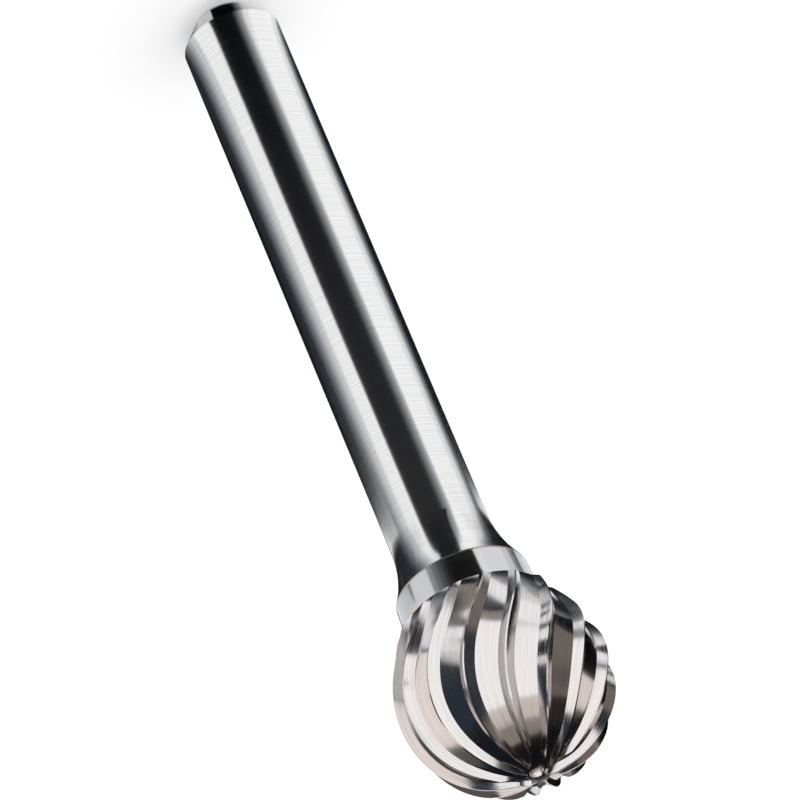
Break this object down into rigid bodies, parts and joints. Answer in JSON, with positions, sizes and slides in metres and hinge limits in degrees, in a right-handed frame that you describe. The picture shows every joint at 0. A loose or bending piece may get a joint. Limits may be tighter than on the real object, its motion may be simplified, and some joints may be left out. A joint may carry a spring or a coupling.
{
  "type": "carbide burr",
  "caption": "Ball-shaped rotary burr: a cylindrical steel shank with a bevelled end, flared to a brazed-on carbide head with helical single-cut teeth.",
  "frame": {"origin": "centre of the shank's flat end face", "axes": "+Z along the tool's axis, from the shank's end to the tip of the ball; the tool turns clockwise seen from the shank's end"},
  "size_m": [0.0126, 0.0126, 0.0566],
  "materials": {
    "shank_steel": "cylindrically ground",
    "silver_braze": "ground flush",
    "ground_carbide": "diamond ground along the teeth"
  },
  "bodies": {
    "root": {"shank": "shank_steel", "braze_joint": "silver_braze", "cutting_head": "ground_carbide"}
  },
  "joints": []
}
